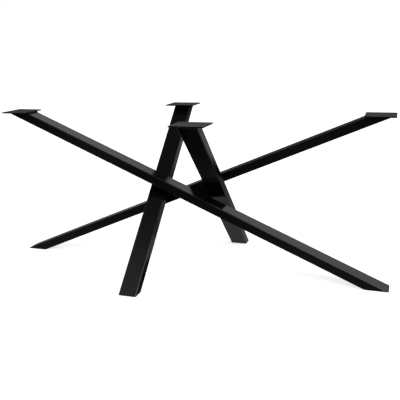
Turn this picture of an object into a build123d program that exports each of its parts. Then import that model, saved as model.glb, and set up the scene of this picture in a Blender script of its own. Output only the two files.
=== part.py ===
"""Crossed table base: four flat steel tubes lean through each other and carry four top plates.

Millimetres. +Z is up, the origin is on the floor under the middle of the base.
X runs along the table, Y across it, with the front at -Y.
A leg is named after the side that its top plate is on: the left leg stands on the right.
The two long legs lean along X, side by side, and the two short legs lean along Y.
Every tube passes over one neighbour and under the other, and only their rounded edges meet.
A flat bar stands on edge between the long legs and fills the gap that their crossing leaves.
"""
from build123d import *
from math import atan2, cos, hypot, sin
import os

# Driving dimensions of the base
total_height = 720.0
crossing_height = 364.0
long_leg_reach = 846.0
short_leg_reach = 379.0

# Rectangular tube, wide side level
tube_width = 80.0
tube_depth = 40.0
tube_wall = 2.0
tube_corner_radius = 4.0
smallest_inner_radius = 0.5

# Top plate and its screw holes
plate_length = 125.0
plate_width = 142.0
plate_thickness = 5.0
plate_corner_radius = 2.0
plate_edge_chamfer = 0.6
plate_outer_margin = 13.5
screw_hole_diameter = 9.0
screw_hole_edge_distance = 16.0

# Flat bar between the long legs
centre_bar_height = 44.0
centre_bar_thickness = 5.0

# Foot cap and glide pad
foot_cap_thickness = 3.0
pad_thickness = 2.0
pad_inset = 6.0
pad_corner_radius = 6.0

# Welds
weld_root_gap = 0.2
plate_weld_leg = 4.0
crossing_weld_radius = 4.5
crossing_weld_length = 20.0
crossing_weld_end_chamfer = 2.5
crossing_weld_stand_off = 3.5

# Sizes that the parts share
tube_bottom = pad_thickness
plate_underside = total_height - plate_thickness
leg_drop = crossing_height - tube_bottom
long_leg_plane = (tube_width + centre_bar_thickness) / 2
cutter_reach = 2 * (long_leg_reach + total_height)


def leg_angle(reach):
    """Angle in radians between a leg and the floor."""
    return atan2(leg_drop, reach)


def axis_offset(reach, height):
    """Distance of the leg's axis from the crossing, positive towards the foot."""
    return (crossing_height - height) * reach / leg_drop


def level_cut_length(reach, thickness):
    """Length that a slanted layer of the given thickness shows when it is cut level."""
    return thickness / sin(leg_angle(reach))


def down_the_leg(reach):
    """Direction from the plate to the foot, in the leg's own upright plane."""
    angle = leg_angle(reach)
    return Vector(cos(angle), 0, -sin(angle))


def long_bar(reach, width, depth, corner_radius):
    """Slanted bar of a leg's section that runs far past both ends of the leg."""
    section_plane = Plane(
        origin=(0, 0, crossing_height), x_dir=(0, 1, 0), z_dir=down_the_leg(reach)
    )
    section = section_plane * RectangleRounded(width, depth, corner_radius)
    return extrude(section, amount=cutter_reach, both=True)


def outer_bar(reach):
    """Bar with the tube's outer section."""
    return long_bar(reach, tube_width, tube_depth, tube_corner_radius)


def inner_bar(reach):
    """Bar that fills the tube's hollow."""
    inner_radius = max(tube_corner_radius - tube_wall, smallest_inner_radius)
    inner_width = tube_width - 2 * tube_wall
    inner_depth = tube_depth - 2 * tube_wall
    return long_bar(reach, inner_width, inner_depth, inner_radius)


def level_slab(bottom, top):
    """Level layer that is larger than the base, to cut a bar between two heights."""
    side = 2 * cutter_reach
    return Pos(0, 0, (bottom + top) / 2) * Box(side, side, top - bottom)


def leg_tube(reach):
    """Hollow tube, cut level under the plate and at the foot."""
    hollow_bar = outer_bar(reach) - inner_bar(reach)
    return hollow_bar & level_slab(tube_bottom, plate_underside)


def foot_cap(reach):
    """Steel plate that fills the tube's lower end, flush with the cut."""
    return inner_bar(reach) & level_slab(tube_bottom, tube_bottom + foot_cap_thickness)


def foot_pad(reach):
    """Thin glide pad under the foot, set in from the tube's outline."""
    foot_length = level_cut_length(reach, tube_depth)
    outline = RectangleRounded(
        foot_length - 2 * pad_inset,
        tube_width - 2 * pad_inset,
        pad_corner_radius,
    )
    centre = axis_offset(reach, tube_bottom)
    return Pos(centre, 0, 0) * extrude(outline, amount=pad_thickness)


def plate_centre(reach):
    """Place of the top plate along the leg's run: its outer edge stands out past the tube."""
    tube_outer_end = axis_offset(reach, plate_underside) - level_cut_length(reach, tube_depth) / 2
    return tube_outer_end - plate_outer_margin + plate_length / 2


def top_plate(reach):
    """Flat plate with broken edges and a screw hole near each corner."""
    outline = RectangleRounded(plate_length, plate_width, plate_corner_radius)
    plate = extrude(outline, amount=plate_thickness)
    face_edges = plate.edges().group_by(Axis.Z)
    plate = chamfer(face_edges[0] + face_edges[-1], plate_edge_chamfer)
    hole = Pos(0, 0, plate_thickness / 2) * Cylinder(screw_hole_diameter / 2, 2 * plate_thickness)
    hole_spacing_along = plate_length - 2 * screw_hole_edge_distance
    hole_spacing_across = plate_width - 2 * screw_hole_edge_distance
    for place in GridLocations(hole_spacing_along, hole_spacing_across, 2, 2):
        plate -= place * hole
    return Pos(plate_centre(reach), 0, plate_underside) * plate


def plate_weld(reach):
    """Fillet bead all round the tube's upper end, with legs of equal length on tube and plate.

    Its four flat slopes run on into the tube, where they are cut away, so that the bead also
    closes round the tube's rounded edges. A wider bar of the leg's slant rounds its corners.
    """
    slope_depth = 2 * plate_weld_leg
    length_on_plate = level_cut_length(reach, tube_depth) + 2 * plate_weld_leg
    width_on_plate = tube_width + 2 * plate_weld_leg
    lean = axis_offset(reach, plate_underside - slope_depth) - axis_offset(reach, plate_underside)
    slopes = Wedge(
        length_on_plate,
        slope_depth,
        width_on_plate,
        lean + slope_depth,
        slope_depth,
        lean + length_on_plate - slope_depth,
        width_on_plate - slope_depth,
        align=(Align.NONE, Align.NONE, Align.NONE),
    )
    upper_end = axis_offset(reach, plate_underside) - length_on_plate / 2
    first_corner = (upper_end, -width_on_plate / 2, plate_underside)
    slopes = Plane(origin=first_corner, x_dir=(1, 0, 0), z_dir=(0, 1, 0)) * slopes
    wider_bar = long_bar(
        reach,
        width_on_plate + plate_weld_leg,
        (length_on_plate + plate_weld_leg) * sin(leg_angle(reach)),
        tube_corner_radius + 2 * plate_weld_leg,
    )
    return (slopes & wider_bar) - outer_bar(reach)


def half_core():
    """Half the tube's depth without the rounding of its edges."""
    return tube_depth / 2 - tube_corner_radius


def short_leg_inner_face():
    """Distance from the middle to the short legs' inner faces, where the tubes' edges touch.

    The lower inner edge of a long tube and the upper inner edge of a short tube are rounded, so
    they touch where the centre lines of the two roundings are two radii apart.
    """
    long_angle = leg_angle(long_leg_reach)
    short_angle = leg_angle(short_leg_reach)
    slant_between_legs = hypot(cos(long_angle), sin(long_angle) * cos(short_angle))
    long_rounding_plane = long_leg_plane - tube_width / 2 + tube_corner_radius
    stack = half_core() * (cos(long_angle) + cos(short_angle))
    stack += (2 * tube_corner_radius + weld_root_gap) * slant_between_legs
    stack -= long_rounding_plane * cos(long_angle) * sin(short_angle)
    return stack / (sin(long_angle) * cos(short_angle)) - tube_corner_radius


short_leg_plane = short_leg_inner_face() + tube_width / 2


def place_left(shape):
    """Left leg: top plate at -X, foot at +X, in the front one of the two long leg planes."""
    return Pos(0, -long_leg_plane, 0) * shape


def place_back(shape):
    """Back leg: top plate at +Y, foot at -Y, left of the middle."""
    return Pos(-short_leg_plane, 0, 0) * Rot(0, 0, -90) * shape


def half_turn(shape):
    """The base is the same after half a turn about Z."""
    return Rot(0, 0, 180) * shape


def flip_at_crossing(shape):
    """Half a turn about the level line along X through the crossing swaps the long legs."""
    return Pos(0, 0, crossing_height) * Rot(180, 0, 0) * Pos(0, 0, -crossing_height) * shape


def centre_bar():
    """Flat bar on edge between the long legs, from one short leg's side to the other's."""
    half_length = short_leg_inner_face() - weld_root_gap
    bar = Box(2 * half_length, centre_bar_thickness, centre_bar_height)
    return Pos(0, 0, crossing_height) * bar


def inner_rounding(reach, height):
    """Centre line of the rounded inner edge at a height over the tube's axis, square to it."""
    angle = leg_angle(reach)
    middle = Vector(
        height * sin(angle),
        tube_width / 2 - tube_corner_radius,
        crossing_height + height * cos(angle),
    )
    half_line = down_the_leg(reach) * cutter_reach
    return Edge.make_line(middle - half_line, middle + half_line)


def crossing_weld():
    """Short bead over the point where the left tube's edge rests on the back tube's edge."""
    long_edge = place_left(inner_rounding(long_leg_reach, -half_core()))
    short_edge = place_back(inner_rounding(short_leg_reach, half_core()))
    _, on_long, on_short = long_edge.distance_to_with_closest_points(short_edge)
    normal = (on_long - on_short).normalized()
    to_middle = Vector(1, 1, 0)
    open_side = (to_middle - normal * to_middle.dot(normal)).normalized()
    centre = (on_long + on_short) / 2 + open_side * crossing_weld_stand_off
    bead = Cylinder(crossing_weld_radius, crossing_weld_length)
    bead = chamfer(bead.edges().filter_by(GeomType.CIRCLE), crossing_weld_end_chamfer)
    bead = Plane(origin=centre, z_dir=normal) * bead
    bead -= place_left(outer_bar(long_leg_reach))
    bead -= place_back(outer_bar(short_leg_reach))
    return bead - centre_bar()


def build_parts():
    """All solids of the base, by name."""
    parts = {}
    pieces = {
        "leg_tube": leg_tube,
        "top_plate": top_plate,
        "plate_weld": plate_weld,
        "foot_cap": foot_cap,
        "foot_pad": foot_pad,
    }
    for name, make in pieces.items():
        left = place_left(make(long_leg_reach))
        back = place_back(make(short_leg_reach))
        parts["left_" + name] = left
        parts["right_" + name] = half_turn(left)
        parts["back_" + name] = back
        parts["front_" + name] = half_turn(back)
    parts["centre_bar"] = centre_bar()
    left_back = crossing_weld()
    right_back = flip_at_crossing(left_back)
    parts["left_back_weld"] = left_back
    parts["right_front_weld"] = half_turn(left_back)
    parts["right_back_weld"] = right_back
    parts["left_front_weld"] = half_turn(right_back)
    return parts


os.makedirs("parts", exist_ok=True)
for node, shape in build_parts().items():
    export_step(shape, f"parts/{node}.step")
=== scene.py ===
"""Looks of the crossed table base: black powder coat, rippled weld beads and felt pads.

Metres, +Z up, the origin on the floor under the middle, the front at -Y. A leg is named after the
side that its top plate is on. The tubes, plates, flat bar and foot caps are the packed solids with
a better finish. The weld beads and the felt pads are modelled here in place of plain solids.
"""
import math

import bmesh
import bpy
from mathutils import Matrix, Vector


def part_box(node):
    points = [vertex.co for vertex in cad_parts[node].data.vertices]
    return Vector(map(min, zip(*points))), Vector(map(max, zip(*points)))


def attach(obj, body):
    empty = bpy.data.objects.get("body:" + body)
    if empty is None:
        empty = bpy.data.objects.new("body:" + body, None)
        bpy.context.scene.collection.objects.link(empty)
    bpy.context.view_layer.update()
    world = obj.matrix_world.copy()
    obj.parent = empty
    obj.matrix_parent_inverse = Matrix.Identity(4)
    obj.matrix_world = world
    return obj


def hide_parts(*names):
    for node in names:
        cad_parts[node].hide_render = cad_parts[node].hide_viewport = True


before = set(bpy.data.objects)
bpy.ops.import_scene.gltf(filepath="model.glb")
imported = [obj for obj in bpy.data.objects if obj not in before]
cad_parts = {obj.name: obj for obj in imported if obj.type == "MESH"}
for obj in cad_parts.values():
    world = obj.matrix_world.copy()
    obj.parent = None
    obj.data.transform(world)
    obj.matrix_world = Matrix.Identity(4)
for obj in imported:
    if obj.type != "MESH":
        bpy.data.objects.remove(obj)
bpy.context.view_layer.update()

bl_info = {
    "name": "Crossed Table Base",
    "version": (1, 0, 0),
    "blender": (4, 5, 0),
    "location": "3D View > Sidebar > Table Base",
    "description": "Finish, weld beads, felt pads and photo stage of a crossed table base",
    "category": "Object",
}

SIDES = ("left", "right", "back", "front")
RUN_DIRECTIONS = {
    "left": Vector((1, 0, 0)),
    "right": Vector((-1, 0, 0)),
    "back": Vector((0, -1, 0)),
    "front": Vector((0, 1, 0)),
}
CROSSING_WELDS = ("left_back", "right_back", "left_front", "right_front")
UP = Vector((0, 0, 1))

# Rounded corners and edges
CIRCULAR = 0.5  # profile of a circular arc
TUBE_CORNER_STEPS = 6  # on a plate bead's outline
BAR_EDGE_STEPS = 8  # on the bars that cut the crossing beads
PAD_CORNER_STEPS = 5
PAD_RIM_STEPS = 3
SAME_PLACE = 1e-6  # metres below which two points share a height or a place along a bar

# Weld beads
POINTS_PER_SCALE = 6  # along one scale
QUARTER_TURN_STEPS = 12  # round a crossing bead's end
FULL_TURN_STEPS = 40  # round a crossing bead's axis
POLE_MERGE = 0.001  # share of the radius within which the points at a pole become one
POLE_WIDTH = 0.05  # share of the radius that stays smooth round a pole
SCALE_BEND = 0.55  # scales by which the middle of a scale runs ahead of its ends
SCALE_DRIFT = 0.35  # scales by which their spacing wanders
DRIFT_SCALES = 9  # scales to one radian of that wandering
SCALE_START = 3  # crossing bead lengths that keep the distance along a bead above zero
RING_SHARES = (0, 0.12, 0.3, 0.5, 0.7, 0.88, 1)  # rings of a plate bead, from plate to tube
PLACE_DIGITS = 9  # decimals that tell one point of an outline from the next

# Share of the white floor in reflections, by metres from the middle of the painted shade under the
# crossing: painted shade and painted light on the floor that only reflections show
FLOOR_PAINTED_SHADE_IN_GLOSS = (
    (0.0, 0.01), (0.11, 0.016), (0.16, 0.05), (0.2, 0.12), (0.3, 0.14), (0.5, 0.15), (0.6, 0.15),
    (0.7, 0.10), (1.35, 0.08), (1.7, 0.05), (1.95, 0.02), (2.15, 0.03), (2.5, 0.16), (3.4, 0.18),
    (4.3, 0.17), (5.0, 0.03),
)

# The studio's dome leans a little to the back, and this is its light by the height along its axis
DOME_AXIS = (-0.05, 0.15, 1)
DOME_LEVELS = (
    (0.0, 0.0), (0.24, 0.0), (0.262, 0.04), (0.30, 0.06), (0.34, 0.12), (0.39, 0.46),
    (0.51, 0.48), (0.56, 0.44), (0.60, 0.54), (0.75, 0.52), (0.81, 0.40), (0.833, 0.35),
    (0.85, 0.04), (1.0, 0.02),
)


class CoatSettings(bpy.types.PropertyGroup):
    """The black powder coat on all the steel."""

    colour: bpy.props.FloatVectorProperty(
        name="Colour", description="Colour of the cured coat", subtype="COLOR",
        size=3, min=0, max=1, default=(0.0030, 0.0030, 0.0032),
    )
    thin_colour: bpy.props.FloatVectorProperty(
        name="Edge Colour", description="Colour where the coat draws thin over an edge",
        subtype="COLOR", size=3, min=0, max=1, default=(0.0060, 0.0060, 0.0062),
    )
    roughness: bpy.props.FloatProperty(
        name="Roughness", description="Satin of the flat faces",
        subtype="FACTOR", min=0, max=1, default=0.17,
    )
    patchiness: bpy.props.FloatProperty(
        name="Patchiness", description="How far the satin varies from patch to patch",
        subtype="FACTOR", min=0, max=1, default=0.05,
    )
    refraction: bpy.props.FloatProperty(
        name="Refraction", description="Index of refraction of the coat",
        min=1, max=2, default=1.5,
    )
    peel_size: bpy.props.FloatProperty(
        name="Peel Size", description="Width of one bump of the coat's orange peel",
        unit="LENGTH", min=0.0002, default=0.0022,
    )
    peel_depth: bpy.props.FloatProperty(
        name="Peel Depth", description="Height of the coat's orange peel",
        unit="LENGTH", min=0, default=0.000012,
    )
    edge_width: bpy.props.FloatProperty(
        name="Edge Width", description="How far the thin coat reaches from an edge",
        unit="LENGTH", min=0, default=0.0015,
    )


class WeldSettings(bpy.types.PropertyGroup):
    """The weld beads under the plates and at the crossing."""

    tube_depth: bpy.props.FloatProperty(
        name="Tube Depth", description="Narrow side of the tube", unit="LENGTH", default=0.040,
    )
    tube_corner: bpy.props.FloatProperty(
        name="Tube Corner", description="Rounding of the tube's edges",
        unit="LENGTH", default=0.004,
    )
    bead_leg: bpy.props.FloatProperty(
        name="Bead Leg", description="Reach of a bead along the plate and the tube",
        unit="LENGTH", default=0.004,
    )
    bead_crown: bpy.props.FloatProperty(
        name="Bead Crown", description="How far the middle of a bead stands out",
        unit="LENGTH", default=0.0004,
    )
    bead_root: bpy.props.FloatProperty(
        name="Bead Root", description="How deep a bead is fused into the tube's wall",
        unit="LENGTH", default=0.0005,
    )
    scale_length: bpy.props.FloatProperty(
        name="Scale Length", description="Distance from one scale of a bead to the next",
        unit="LENGTH", min=0.0005, default=0.0026,
    )
    scale_depth: bpy.props.FloatProperty(
        name="Scale Depth", description="Height of one scale of a bead",
        unit="LENGTH", default=0.00035,
    )
    crossing_radius: bpy.props.FloatProperty(
        name="Crossing Radius", description="Half the width of a bead at the crossing",
        unit="LENGTH", default=0.0044,
    )
    crossing_length: bpy.props.FloatProperty(
        name="Crossing Length", description="Length of a bead at the crossing",
        unit="LENGTH", default=0.0196,
    )


class PadSettings(bpy.types.PropertyGroup):
    """The felt glide pads under the feet."""

    colour: bpy.props.FloatVectorProperty(
        name="Colour", description="Colour of the felt", subtype="COLOR",
        size=3, min=0, max=1, default=(0.022, 0.021, 0.020),
    )
    corner: bpy.props.FloatProperty(
        name="Corner", description="Rounding of the pad's corners", unit="LENGTH", default=0.006,
    )
    soft_edge: bpy.props.FloatProperty(
        name="Soft Edge", description="Rounding of the pad's rims", unit="LENGTH", default=0.0005,
    )
    fibre_size: bpy.props.FloatProperty(
        name="Fibre Size", description="Thickness of the felt's tufts",
        unit="LENGTH", default=0.0004,
    )
    fibre_relief: bpy.props.FloatProperty(
        name="Fibre Relief", description="How strongly the tufts stand out",
        subtype="FACTOR", min=0, max=1, default=0.8,
    )
    fleck_gain: bpy.props.FloatProperty(
        name="Fleck Gain", description="How much lighter the felt's flecks are", min=1, default=3,
    )
    roughness: bpy.props.FloatProperty(
        name="Roughness", description="Mattness of the felt",
        subtype="FACTOR", min=0, max=1, default=0.95,
    )
    sheen: bpy.props.FloatProperty(
        name="Sheen", description="Light that the felt's loose fibres catch",
        subtype="FACTOR", min=0, max=1, default=0.3,
    )


class StageSettings(bpy.types.PropertyGroup):
    """The floor, the light and the camera."""

    floor_radius: bpy.props.FloatProperty(
        name="Floor Radius", description="Radius of the floor", unit="LENGTH", default=60,
    )
    floor_sides: bpy.props.IntProperty(
        name="Floor Sides", description="Straight sides of the floor's rim", min=3, default=96,
    )
    floor_colour: bpy.props.FloatVectorProperty(
        name="Floor Colour", description="Pale colour of the floor", subtype="COLOR",
        size=3, min=0, max=1, default=(0.8, 0.8, 0.8),
    )
    floor_glow: bpy.props.FloatProperty(
        name="Floor Glow", description="Light that lifts the floor to white",
        min=0, default=0.75,
    )
    unlit_colour: bpy.props.FloatVectorProperty(
        name="Room Colour", description="Colour of the studio's floor outside the white sheet",
        subtype="COLOR", size=3, min=0, max=1, default=(0.02, 0.02, 0.02),
    )
    white_in_gloss: bpy.props.FloatProperty(
        name="White in Gloss", description="Share of the white background that reflections show",
        subtype="FACTOR", min=0, max=1, default=0.03,
    )
    # Painted shade: middle of a darker spot on the floor under the crossing, which only reflections
    # show
    painted_shade_place: bpy.props.FloatVectorProperty(
        name="Shade Place", description="Middle of the shaded spot of the floor under the crossing",
        subtype="TRANSLATION", size=3, default=(-0.08, -0.12, 0),
    )
    # Painted light: reflections show the floor lighter towards this side, by the gain below
    painted_light_side: bpy.props.FloatVectorProperty(
        name="Lit Side", description="Side of the floor that reflections show lighter",
        subtype="DIRECTION", size=3, default=(0, 1, 0),
    )
    painted_light_gain: bpy.props.FloatProperty(
        name="Lit Side Gain", description="How much lighter the lit side of the floor is",
        subtype="FACTOR", min=0, max=1, default=0.6,
    )
    key_strength: bpy.props.FloatProperty(
        name="Key Strength", description="Light of the key lamp", min=0, default=2.0,
    )
    key_turn: bpy.props.FloatVectorProperty(
        name="Key Turn", description="Turn of the key lamp", subtype="EULER",
        size=3, default=(math.radians(51), 0, math.radians(47)),
    )
    key_width: bpy.props.FloatProperty(
        name="Key Width", description="Width of the key lamp, as seen from the object",
        subtype="ANGLE", default=math.radians(50),
    )
    camera_place: bpy.props.FloatVectorProperty(
        name="Camera Place", description="Where the camera stands",
        subtype="TRANSLATION", size=3, default=(0.8912, -2.4550, 1.0325),
    )
    camera_yaw: bpy.props.FloatProperty(
        name="Camera Yaw", description="Turn of the camera to the left",
        subtype="ANGLE", default=math.radians(18.848),
    )
    camera_pitch: bpy.props.FloatProperty(
        name="Camera Pitch", description="How far the camera looks down",
        subtype="ANGLE", default=math.radians(15.305),
    )
    camera_roll: bpy.props.FloatProperty(
        name="Camera Roll", description="Turn of the camera about its own line of sight",
        subtype="ANGLE", default=math.radians(-1.402),
    )
    camera_lens: bpy.props.FloatProperty(
        name="Camera Lens", description="Focal length in millimetres", default=53.02,
    )


SETTINGS = {
    "base_coat": CoatSettings,
    "base_welds": WeldSettings,
    "base_pads": PadSettings,
    "base_stage": StageSettings,
}


def add_node(tree, kind, options=None, **inputs):
    """Adds a shader node. Inputs go by name, or as i and their number.

    An input is given a value, or is linked where the value is another node's output.
    """
    node = tree.nodes.new(kind)
    for option, value in (options or {}).items():
        setattr(node, option, value)
    for name, value in inputs.items():
        numbered = name[0] == "i" and name[1:].isdigit()
        socket = node.inputs[int(name[1:]) if numbered else name]
        if isinstance(value, bpy.types.NodeSocket):
            tree.links.new(value, socket)
        else:
            socket.default_value = value
    return node


def calculate(tree, operation, *numbers, clamp=False):
    """Number that a Math node works out."""
    inputs = {f"i{place}": number for place, number in enumerate(numbers)}
    options = {"operation": operation, "use_clamp": clamp}
    return add_node(tree, "ShaderNodeMath", options, **inputs).outputs[0]


def calculate_vector(tree, operation, output, *vectors):
    """Vector or number that a Vector Math node works out, from the output of that name."""
    inputs = {f"i{place}": vector for place, vector in enumerate(vectors)}
    options = {"operation": operation}
    return add_node(tree, "ShaderNodeVectorMath", options, **inputs).outputs[output]


def opaque(colour):
    """A colour property as the four numbers that a socket takes."""
    return (*colour, 1)


def mix_colours(tree, factor, first, second):
    """Colour that goes from the first to the second with a factor."""
    mix = add_node(tree, "ShaderNodeMix", {"data_type": "RGBA"}, Factor=factor)
    socket = {item.identifier: item for item in (*mix.inputs, *mix.outputs)}
    socket["A_Color"].default_value = opaque(first)
    socket["B_Color"].default_value = opaque(second)
    return socket["Result_Color"]


def new_group(name, inputs, outputs):
    """Starts a shader node group with named number inputs and named outputs."""
    group = bpy.data.node_groups.new(name, "ShaderNodeTree")
    for label, default in inputs.items():
        socket = group.interface.new_socket(label, in_out="INPUT", socket_type="NodeSocketFloat")
        socket.default_value = default
    for label in outputs:
        group.interface.new_socket(label, in_out="OUTPUT", socket_type="NodeSocketFloat")
    return group, group.nodes.new("NodeGroupInput"), group.nodes.new("NodeGroupOutput")


def one_over(tree, length):
    """Noise scale that gives a pattern of a length."""
    return calculate(tree, "DIVIDE", 1.0, length)


def group_orange_peel():
    """Height of the cured powder's orange peel, and patches where its satin differs."""
    group, given, result = new_group(
        "orange_peel", {"Peel Size": 0.002, "Patch Size": 0.09}, ("Height", "Patches"),
    )
    place = add_node(group, "ShaderNodeTexCoord").outputs["Object"]
    peel = add_node(
        group, "ShaderNodeTexNoise", Vector=place, Detail=2.0, Roughness=0.55,
        Scale=one_over(group, given.outputs["Peel Size"]),
    )
    patches = add_node(
        group, "ShaderNodeTexNoise", Vector=place, Detail=3.0, Roughness=0.5,
        Scale=one_over(group, given.outputs["Patch Size"]),
    )
    centred = calculate(group, "SUBTRACT", patches.outputs["Fac"], 0.5)
    group.links.new(peel.outputs["Fac"], result.inputs["Height"])
    group.links.new(centred, result.inputs["Patches"])
    return group


def group_thin_edge():
    """Mask of the edges, where powder draws thin before it cures."""
    group, given, result = new_group("thin_edge", {"Width": 0.0015, "Reach": 6.0}, ("Mask",))
    rounded = add_node(group, "ShaderNodeBevel", {"samples": 4}, Radius=given.outputs["Width"])
    flat = add_node(group, "ShaderNodeNewGeometry")
    alike = calculate_vector(
        group, "DOT_PRODUCT", "Value", rounded.outputs["Normal"], flat.outputs["Normal"],
    )
    turned = calculate(group, "SUBTRACT", 1.0, alike)
    mask = calculate(group, "MULTIPLY", turned, given.outputs["Reach"], clamp=True)
    group.links.new(mask, result.inputs["Mask"])
    return group


def group_fibres():
    """Height of matted fibres, and the lighter flecks among them."""
    group, given, result = new_group("fibres", {"Fibre Size": 0.0004}, ("Height", "Flecks"))
    place = add_node(group, "ShaderNodeTexCoord").outputs["Object"]
    tufts = add_node(
        group, "ShaderNodeTexNoise", Vector=place, Detail=6.0, Roughness=0.7, Distortion=1.5,
        Scale=one_over(group, given.outputs["Fibre Size"]),
    )
    flecks = add_node(
        group, "ShaderNodeMapRange", Value=tufts.outputs["Fac"],
        **{"From Min": 0.5, "From Max": 0.75},
    )
    group.links.new(tufts.outputs["Fac"], result.inputs["Height"])
    group.links.new(flecks.outputs["Result"], result.inputs["Flecks"])
    return group


def shared_group(name, build):
    """The node group of that name, built the first time that it is asked for."""
    return bpy.data.node_groups.get(name) or build()


def new_material(name):
    """An empty node material with its Principled shader already on the output."""
    material = bpy.data.materials.new(name)
    material.use_nodes = True
    tree = material.node_tree
    tree.nodes.clear()
    shader = add_node(tree, "ShaderNodeBsdfPrincipled")
    output = add_node(tree, "ShaderNodeOutputMaterial")
    tree.links.new(shader.outputs["BSDF"], output.inputs["Surface"])
    return material, tree, shader


def powder_coat(name, settings, peel_size):
    """Near-black satin powder coat: orange peel, faint patches and a thin coat on the edges."""
    material, tree, shader = new_material(name)
    peel = add_node(
        tree, "ShaderNodeGroup", {"node_tree": shared_group("orange_peel", group_orange_peel)},
        **{"Peel Size": peel_size},
    )
    edge = add_node(
        tree, "ShaderNodeGroup", {"node_tree": shared_group("thin_edge", group_thin_edge)},
        Width=settings.edge_width,
    )
    colour = mix_colours(tree, edge.outputs["Mask"], settings.colour, settings.thin_colour)
    satin = calculate(
        tree, "MULTIPLY_ADD", peel.outputs["Patches"], 2 * settings.patchiness, settings.roughness,
    )
    bump = add_node(
        tree, "ShaderNodeBump", Height=peel.outputs["Height"],
        Distance=settings.peel_depth, Strength=1.0,
    )
    tree.links.new(colour, shader.inputs["Base Color"])
    tree.links.new(satin, shader.inputs["Roughness"])
    tree.links.new(bump.outputs["Normal"], shader.inputs["Normal"])
    shader.inputs["IOR"].default_value = settings.refraction
    return material


def felt(name, settings):
    """Dark pressed felt with matted fibres."""
    material, tree, shader = new_material(name)
    fibres = add_node(
        tree, "ShaderNodeGroup", {"node_tree": shared_group("fibres", group_fibres)},
        **{"Fibre Size": settings.fibre_size},
    )
    fleck = [min(1, settings.fleck_gain * part) for part in settings.colour]
    colour = mix_colours(tree, fibres.outputs["Flecks"], settings.colour, fleck)
    bump = add_node(
        tree, "ShaderNodeBump", Height=fibres.outputs["Height"],
        Distance=settings.fibre_size, Strength=settings.fibre_relief,
    )
    tree.links.new(colour, shader.inputs["Base Color"])
    tree.links.new(bump.outputs["Normal"], shader.inputs["Normal"])
    shader.inputs["Roughness"].default_value = settings.roughness
    shader.inputs["Sheen Weight"].default_value = settings.sheen
    return material


def coat_node(name, material):
    """Gives a packed solid its finish."""
    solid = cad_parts[name]
    solid.data.materials.clear()
    solid.data.materials.append(material)


def leg_angle(side, tube_depth):
    """Angle between a leg and the floor, from the box of its tube with its two level cuts."""
    low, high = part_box(side + "_leg_tube")
    run = abs((high - low).dot(RUN_DIRECTIONS[side]))
    rise = high.z - low.z
    return math.atan2(rise, run) + math.asin(tube_depth / math.hypot(run, rise))


def top_cut_centre(side, tube_depth):
    """Middle of the tube's upper cut, under the plate."""
    low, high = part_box(side + "_leg_tube")
    middle = (low + high) / 2
    half_run = abs((high - low).dot(RUN_DIRECTIONS[side])) / 2
    half_cut = tube_depth / math.sin(leg_angle(side, tube_depth)) / 2
    centre = middle - RUN_DIRECTIONS[side] * (half_run - half_cut)
    return Vector((centre.x, centre.y, high.z))


def tube_width(side):
    """Wide side of a tube, level and across its run."""
    low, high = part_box(side + "_leg_tube")
    across = UP.cross(RUN_DIRECTIONS[side])
    return abs((high - low).dot(across))


def axes_matrix(x_axis, z_axis, place):
    """Placement with the given X and Z directions."""
    z_axis = z_axis.normalized()
    y_axis = z_axis.cross(x_axis).normalized()
    x_axis = y_axis.cross(z_axis)
    turn = Matrix((x_axis, y_axis, z_axis)).transposed()
    return Matrix.Translation(place) @ turn.to_4x4()


def mesh_object(name, bm):
    """Turns a bmesh into an object of the scene."""
    mesh = bpy.data.meshes.new(name)
    bm.to_mesh(mesh)
    bm.free()
    made = bpy.data.objects.new(name, mesh)
    bpy.context.scene.collection.objects.link(made)
    return made


def finish_piece(name, bm, material, node):
    """Turns a bmesh into a shown piece that stands for a packed solid."""
    bmesh.ops.recalc_face_normals(bm, faces=bm.faces)
    piece = mesh_object(name, bm)
    piece.data.shade_smooth()
    piece.data.materials.append(material)
    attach(piece, "root")
    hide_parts(node)
    return piece


def round_off(bm, geometry, affect, radius, segments):
    """Rounds corners or edges with circular arcs."""
    bmesh.ops.bevel(
        bm, geom=geometry, affect=affect, offset=radius,
        segments=segments, profile=CIRCULAR, material=-1,
    )


def rounded_rectangle(bm, half_length, half_width, corner, segments):
    """Flat rounded rectangle at the origin, as one face."""
    bmesh.ops.create_grid(bm, x_segments=1, y_segments=1, size=1)
    bmesh.ops.scale(bm, vec=(half_length, half_width, 1), verts=bm.verts)
    round_off(bm, bm.verts[:], "VERTICES", corner, segments)


def parts_of_kind(made, kind):
    """The points or edges among what a mesh operation made."""
    return [part for part in made["geom"] if isinstance(part, kind)]


def scale_height(distance, across, welds):
    """Height of a bead's scales at a distance along it, and across it from 0 to 1."""
    lag = SCALE_BEND * (2 * across - 1) ** 2
    drift = SCALE_DRIFT * math.sin(distance / (DRIFT_SCALES * welds.scale_length))
    scale = abs(math.sin(math.pi * (distance / welds.scale_length - lag + drift)))
    return welds.scale_depth * scale * math.sin(math.pi * across)


def measure_outline(bm, along):
    """Stores how far round the outline each of its points is."""
    first = bm.verts[0]
    vert, edge, distance = first, first.link_edges[0], 0.0
    while True:
        vert[along] = distance
        distance += edge.calc_length()
        vert = edge.other_vert(vert)
        if vert == first:
            return
        edge = next(e for e in vert.link_edges if e != edge)


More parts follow.
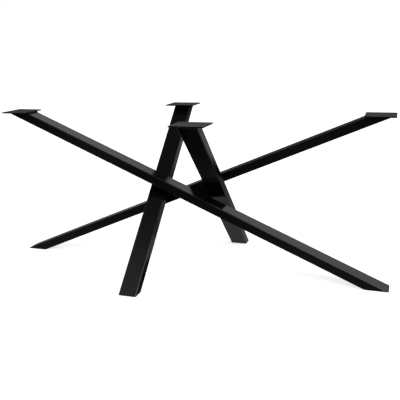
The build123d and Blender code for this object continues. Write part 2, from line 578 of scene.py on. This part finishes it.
def plate_bead(side, welds):
    """Rippled fillet bead round a tube's upper end, under its plate."""
    angle = leg_angle(side, welds.tube_depth)
    half_length = welds.tube_depth / math.sin(angle) / 2
    half_width = tube_width(side) / 2
    lean = 1 / math.tan(angle)
    bm = bmesh.new()
    along = bm.verts.layers.float.new("along")
    across = bm.verts.layers.float.new("across")
    rounded_rectangle(bm, half_length, half_width, welds.tube_corner, TUBE_CORNER_STEPS)
    bmesh.ops.delete(bm, geom=bm.faces[:], context="FACES_ONLY")
    step = welds.scale_length / POINTS_PER_SCALE
    for edge in bm.edges[:]:
        cuts = round(edge.calc_length() / step) - 1
        if cuts > 0:
            bmesh.ops.subdivide_edges(bm, edges=[edge], cuts=cuts)
    bm.verts.ensure_lookup_table()
    measure_outline(bm, along)
    outline = {round(v[along], PLACE_DIGITS): v.co.copy() for v in bm.verts}

    # Each ring by its offset from the tube's side, its drop below the plate and its share across
    rings = []
    for share in RING_SHARES:
        crown = welds.bead_crown * math.sin(math.pi * share) / math.sqrt(2)
        offset = welds.bead_leg * (1 - share) + crown
        rings.append((offset, welds.bead_leg * share + crown, share))
    rings.append((-welds.bead_root, welds.bead_leg, 1))
    rings.append((-welds.bead_root, 0, 0))

    verts, edges = bm.verts[:], bm.edges[:]
    first_edges = edges
    for number, (offset, drop, share) in enumerate(rings):
        if number:
            made = bmesh.ops.extrude_edge_only(bm, edges=edges)
            verts = parts_of_kind(made, bmesh.types.BMVert)
            edges = parts_of_kind(made, bmesh.types.BMEdge)
        for vert in verts:
            start = outline[round(vert[along], PLACE_DIGITS)]
            wider = Vector((
                start.x * (half_length + offset) / half_length,
                start.y * (half_width + offset) / half_width,
                0,
            ))
            vert.co = wider + Vector((drop * lean, 0, -drop))
            vert[across] = share
    bmesh.ops.bridge_loops(bm, edges=first_edges + edges)
    bmesh.ops.recalc_face_normals(bm, faces=bm.faces)
    bm.normal_update()
    lifts = {v: v.normal * scale_height(v[along], v[across], welds) for v in bm.verts}
    for vert, lift in lifts.items():
        vert.co += lift
    place = axes_matrix(RUN_DIRECTIONS[side], UP, top_cut_centre(side, welds.tube_depth))
    bmesh.ops.transform(bm, matrix=place, verts=bm.verts)
    return bm


def down_the_leg(side, tube_depth):
    """Direction from a leg's plate to its foot."""
    angle = leg_angle(side, tube_depth)
    return RUN_DIRECTIONS[side] * math.cos(angle) - UP * math.sin(angle)


def solid_bar(side, welds):
    """Temporary bar with a tube's outer section, to cut the crossing beads to the tubes' faces."""
    bm = bmesh.new()
    bmesh.ops.create_cube(bm, size=1)
    low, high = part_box(side + "_leg_tube")
    section = (tube_width(side), welds.tube_depth)
    bmesh.ops.scale(bm, vec=((high - low).length, *section), verts=bm.verts)
    long_edges = [e for e in bm.edges if abs(e.verts[0].co.x - e.verts[1].co.x) > SAME_PLACE]
    round_off(bm, long_edges, "EDGES", welds.tube_corner, BAR_EDGE_STEPS)
    direction = down_the_leg(side, welds.tube_depth)
    upper_face = direction.cross(UP.cross(direction))
    place = axes_matrix(direction, upper_face, (low + high) / 2)
    bmesh.ops.transform(bm, matrix=place, verts=bm.verts)
    return mesh_object(side + "_bar", bm)


def capsule_profile(radius, half_straight, straight_steps):
    """Half outline of a round-ended bar along Z, as distances from its axis and heights."""
    profile = []
    for step in range(QUARTER_TURN_STEPS + 1):
        turn = math.pi * (step / QUARTER_TURN_STEPS - 1) / 2
        profile.append((radius * math.cos(turn), radius * math.sin(turn) - half_straight))
    for step in range(1, straight_steps):
        profile.append((radius, half_straight * (2 * step / straight_steps - 1)))
    for step in range(QUARTER_TURN_STEPS + 1):
        turn = math.pi * step / (2 * QUARTER_TURN_STEPS)
        profile.append((radius * math.cos(turn), radius * math.sin(turn) + half_straight))
    return profile


def crossing_bead(pair, welds):
    """Short rippled bead that joins two tubes where their edges touch."""
    radius = welds.crossing_radius
    half_straight = welds.crossing_length / 2 - radius
    straight_steps = round(2 * half_straight / welds.scale_length * POINTS_PER_SCALE)
    bm = bmesh.new()
    profile = capsule_profile(radius, half_straight, straight_steps)
    verts = [bm.verts.new((out, 0, height)) for out, height in profile]
    edges = [bm.edges.new(ends) for ends in zip(verts, verts[1:])]
    bmesh.ops.spin(
        bm, geom=verts + edges, cent=(0, 0, 0), axis=UP,
        angle=2 * math.pi, steps=FULL_TURN_STEPS, use_merge=True, use_duplicate=False,
    )
    bmesh.ops.remove_doubles(bm, verts=bm.verts, dist=radius * POLE_MERGE)
    for vert in bm.verts:
        outward = Vector((vert.co.x, vert.co.y, 0))
        if outward.length < radius * POLE_WIDTH:
            continue
        turn = math.atan2(vert.co.y, vert.co.x) / (2 * math.pi) + 0.5
        distance = vert.co.z + SCALE_START * welds.crossing_length
        across = 0.25 + 0.5 * abs(2 * turn - 1)
        vert.co -= outward.normalized() * scale_height(distance, across, welds)
    long_leg, short_leg = (down_the_leg(side, welds.tube_depth) for side in pair.split("_"))
    low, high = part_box(pair + "_weld")
    centre = (low + high) / 2
    outwards = Vector((centre.x, centre.y, 0))
    place = axes_matrix(outwards, long_leg.cross(short_leg), centre)
    bmesh.ops.transform(bm, matrix=place, verts=bm.verts)
    return bm


def felt_pad(side, pads):
    """Flat pad with soft rims, in the place of the packed one."""
    low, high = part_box(side + "_foot_pad")
    half = (high - low) / 2
    bm = bmesh.new()
    rounded_rectangle(bm, half.x, half.y, pads.corner, PAD_CORNER_STEPS)
    lifted = bmesh.ops.extrude_face_region(bm, geom=bm.faces[:])
    top = parts_of_kind(lifted, bmesh.types.BMVert)
    bmesh.ops.translate(bm, vec=(0, 0, high.z - low.z), verts=top)
    rims = [e for e in bm.edges if abs(e.verts[0].co.z - e.verts[1].co.z) < SAME_PLACE]
    round_off(bm, rims, "EDGES", pads.soft_edge, PAD_RIM_STEPS)
    centre = (low + high) / 2
    bmesh.ops.translate(bm, vec=(centre.x, centre.y, low.z), verts=bm.verts)
    return bm


def cut_by(piece, cutters):
    """Takes the cutters' shapes away from a piece."""
    for cutter in cutters:
        cut = piece.modifiers.new("cut", "BOOLEAN")
        cut.operation = "DIFFERENCE"
        cut.solver = "EXACT"
        cut.object = cutter
    shaped = piece.evaluated_get(bpy.context.evaluated_depsgraph_get())
    piece.data = bpy.data.meshes.new_from_object(shaped)
    piece.modifiers.clear()


class BASE_OT_coat_tubes(bpy.types.Operator):
    """Powder-coats the tubes, the caps in their feet and the flat bar between the long tubes."""

    bl_idname = "crossed_base.coat_tubes"
    bl_label = "Coat Tubes"

    def execute(self, context):
        coat = context.scene.base_coat
        material = powder_coat("tube_powder_coat", coat, coat.peel_size)
        for side in SIDES:
            coat_node(side + "_leg_tube", material)
            coat_node(side + "_foot_cap", material)
        coat_node("centre_bar", material)
        return {"FINISHED"}


class BASE_OT_coat_plates(bpy.types.Operator):
    """Powder-coats the four top plates."""

    bl_idname = "crossed_base.coat_plates"
    bl_label = "Coat Plates"

    def execute(self, context):
        coat = context.scene.base_coat
        material = powder_coat("plate_powder_coat", coat, coat.peel_size)
        for side in SIDES:
            coat_node(side + "_top_plate", material)
        return {"FINISHED"}


class BASE_OT_make_plate_beads(bpy.types.Operator):
    """Models the rippled beads that join the tubes to their plates."""

    bl_idname = "crossed_base.make_plate_beads"
    bl_label = "Make Plate Beads"

    def execute(self, context):
        coat, welds = context.scene.base_coat, context.scene.base_welds
        material = powder_coat("bead_powder_coat", coat, coat.peel_size / 2)
        for side in SIDES:
            bead = plate_bead(side, welds)
            node = side + "_plate_weld"
            finish_piece(side + "_plate_bead", bead, material, node)
        return {"FINISHED"}


class BASE_OT_make_crossing_beads(bpy.types.Operator):
    """Models the short rippled beads where the tubes touch."""

    bl_idname = "crossed_base.make_crossing_beads"
    bl_label = "Make Crossing Beads"

    def execute(self, context):
        coat, welds = context.scene.base_coat, context.scene.base_welds
        material = powder_coat("crossing_powder_coat", coat, coat.peel_size / 2)
        bars = {side: solid_bar(side, welds) for side in SIDES}
        flat_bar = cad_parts["centre_bar"]
        for pair in CROSSING_WELDS:
            bead = crossing_bead(pair, welds)
            piece = finish_piece(pair + "_bead", bead, material, pair + "_weld")
            cut_by(piece, [bars[side] for side in pair.split("_")] + [flat_bar])
        for bar in bars.values():
            bpy.data.objects.remove(bar)
        return {"FINISHED"}


class BASE_OT_make_pads(bpy.types.Operator):
    """Models the felt pads under the feet."""

    bl_idname = "crossed_base.make_pads"
    bl_label = "Make Felt Pads"

    def execute(self, context):
        pads = context.scene.base_pads
        material = felt("pad_felt", pads)
        for side in SIDES:
            pad = felt_pad(side, pads)
            finish_piece(side + "_felt_pad", pad, material, side + "_foot_pad")
        return {"FINISHED"}


def background_mask(tree, share):
    """1 for camera rays, and the share for rays that a glossy or clear surface sends on."""
    path = add_node(tree, "ShaderNodeLightPath").outputs
    sent_on = calculate(tree, "MAXIMUM", path["Is Glossy Ray"], path["Is Transmission Ray"])
    shared = calculate(tree, "MULTIPLY", sent_on, share)
    return calculate(tree, "MAXIMUM", path["Is Camera Ray"], shared)


def ramp_of(tree, value, stops):
    """Level that follows a value from 0 to 1 through the given stops."""
    ramp = add_node(tree, "ShaderNodeValToRGB", Fac=value)
    elements = ramp.color_ramp.elements
    while len(elements) < len(stops):
        elements.new(1.0)
    for element, (position, level) in zip(elements, stops):
        element.position = position
        element.color = (level, level, level, 1)
    return ramp.outputs["Color"]


def floor_painted_shade_in_gloss(tree, stage):
    """Share of the white floor that reflections show: painted shade round the spot under the
    crossing, painted light on the lit side.
    """
    place = add_node(tree, "ShaderNodeTexCoord").outputs["Object"]
    away = calculate_vector(tree, "SUBTRACT", "Vector", place, stage.painted_shade_place)
    metres = calculate_vector(tree, "LENGTH", "Value", away)
    reach = FLOOR_PAINTED_SHADE_IN_GLOSS[-1][0]
    portion = calculate(tree, "DIVIDE", metres, reach)
    share = ramp_of(tree, portion, [(stop / reach, level) for stop, level in FLOOR_PAINTED_SHADE_IN_GLOSS])
    direction = calculate_vector(tree, "NORMALIZE", "Vector", away)
    towards = calculate_vector(tree, "DOT_PRODUCT", "Value", direction, stage.painted_light_side)
    # Painted light: the floor in reflections is lighter towards the lit side
    gain = calculate(tree, "MULTIPLY_ADD", towards, stage.painted_light_gain, 1.0)
    return calculate(tree, "MULTIPLY", share, gain)


def build_floor(stage):
    """Pale floor that is lifted to white and keeps the base's shadow."""
    bm = bmesh.new()
    bmesh.ops.create_circle(
        bm, cap_ends=True, segments=stage.floor_sides, radius=stage.floor_radius,
    )
    floor = mesh_object("studio_floor", bm)
    material = bpy.data.materials.new("white_floor")
    material.use_nodes = True
    material.cycles.emission_sampling = "NONE"
    tree = material.node_tree
    tree.nodes.clear()
    pale = add_node(tree, "ShaderNodeBsdfDiffuse", Color=opaque(stage.floor_colour))
    glow = add_node(tree, "ShaderNodeEmission", Color=(1, 1, 1, 1), Strength=stage.floor_glow)
    sheet = add_node(tree, "ShaderNodeAddShader", i0=pale.outputs[0], i1=glow.outputs[0])
    room = add_node(tree, "ShaderNodeBsdfDiffuse", Color=opaque(stage.unlit_colour))
    # Reflections see the floor with painted shade under the crossing and painted light on the lit
    # side
    mask = background_mask(tree, floor_painted_shade_in_gloss(tree, stage))
    both = add_node(tree, "ShaderNodeMixShader", i0=mask, i1=room.outputs[0], i2=sheet.outputs[0])
    output = add_node(tree, "ShaderNodeOutputMaterial")
    tree.links.new(both.outputs[0], output.inputs["Surface"])
    floor.data.materials.append(material)


def build_dome(stage):
    """Soft studio dome, dark near the floor and overhead, with white behind it for the camera."""
    world = bpy.data.worlds.new("studio_dome")
    bpy.context.scene.world = world
    world.use_nodes = True
    tree = world.node_tree
    tree.nodes.clear()
    direction = add_node(tree, "ShaderNodeTexCoord").outputs["Generated"]
    height = calculate_vector(tree, "DOT_PRODUCT", "Value", direction, DOME_AXIS)
    light = ramp_of(tree, height, DOME_LEVELS)
    dome = add_node(tree, "ShaderNodeBackground", Color=light, Strength=1.0)
    white = add_node(tree, "ShaderNodeBackground", Color=(1, 1, 1, 1), Strength=1.0)
    mask = background_mask(tree, stage.white_in_gloss)
    both = add_node(tree, "ShaderNodeMixShader", i0=mask, i1=dome.outputs[0], i2=white.outputs[0])
    output = add_node(tree, "ShaderNodeOutputWorld")
    tree.links.new(both.outputs[0], output.inputs["Surface"])


def build_key_lamp(stage):
    """Wide soft key lamp."""
    lamp = bpy.data.lights.new("key_lamp", "SUN")
    lamp.energy = stage.key_strength
    lamp.angle = stage.key_width
    key = bpy.data.objects.new("key_lamp", lamp)
    key.rotation_euler = stage.key_turn
    bpy.context.scene.collection.objects.link(key)


def build_camera(stage):
    """Camera where the photograph was taken from."""
    data = bpy.data.cameras.new("photo_camera")
    data.lens = stage.camera_lens
    camera = bpy.data.objects.new("photo_camera", data)
    yaw = Matrix.Rotation(stage.camera_yaw, 4, "Z")
    pitch = Matrix.Rotation(math.radians(90) - stage.camera_pitch, 4, "X")
    roll = Matrix.Rotation(stage.camera_roll, 4, "Z")
    camera.matrix_world = Matrix.Translation(stage.camera_place) @ yaw @ pitch @ roll
    bpy.context.scene.collection.objects.link(camera)
    bpy.context.scene.camera = camera


class BASE_OT_build_stage(bpy.types.Operator):
    """Builds the white floor, the soft studio light and the camera."""

    bl_idname = "crossed_base.build_stage"
    bl_label = "Build Stage"

    def execute(self, context):
        stage = context.scene.base_stage
        build_floor(stage)
        build_dome(stage)
        build_key_lamp(stage)
        build_camera(stage)
        context.scene.view_settings.view_transform = "Standard"
        return {"FINISHED"}


OPERATORS = (
    BASE_OT_coat_tubes,
    BASE_OT_coat_plates,
    BASE_OT_make_plate_beads,
    BASE_OT_make_crossing_beads,
    BASE_OT_make_pads,
    BASE_OT_build_stage,
)


class BASE_PT_panel(bpy.types.Panel):
    """Sizes, colours and steps of the crossed table base."""

    bl_idname = "BASE_PT_panel"
    bl_label = "Crossed Table Base"
    bl_space_type = "VIEW_3D"
    bl_region_type = "UI"
    bl_category = "Table Base"

    def draw(self, context):
        for name, group in SETTINGS.items():
            box = self.layout.box()
            box.label(text=group.__doc__)
            settings = getattr(context.scene, name)
            for value in group.__annotations__:
                box.prop(settings, value)
        for operator in OPERATORS:
            self.layout.operator(operator.bl_idname)


CLASSES = (*SETTINGS.values(), *OPERATORS, BASE_PT_panel)


def register():
    for made_class in CLASSES:
        bpy.utils.register_class(made_class)
    for name, group in SETTINGS.items():
        setattr(bpy.types.Scene, name, bpy.props.PointerProperty(type=group))


def unregister():
    for name in SETTINGS:
        delattr(bpy.types.Scene, name)
    for made_class in reversed(CLASSES):
        bpy.utils.unregister_class(made_class)


def main():
    """Dresses the base and builds the stage."""
    register()
    bpy.ops.crossed_base.coat_tubes()
    bpy.ops.crossed_base.coat_plates()
    bpy.ops.crossed_base.make_plate_beads()
    bpy.ops.crossed_base.make_crossing_beads()
    bpy.ops.crossed_base.make_pads()
    bpy.ops.crossed_base.build_stage()


if __name__ == "__main__":
    main()
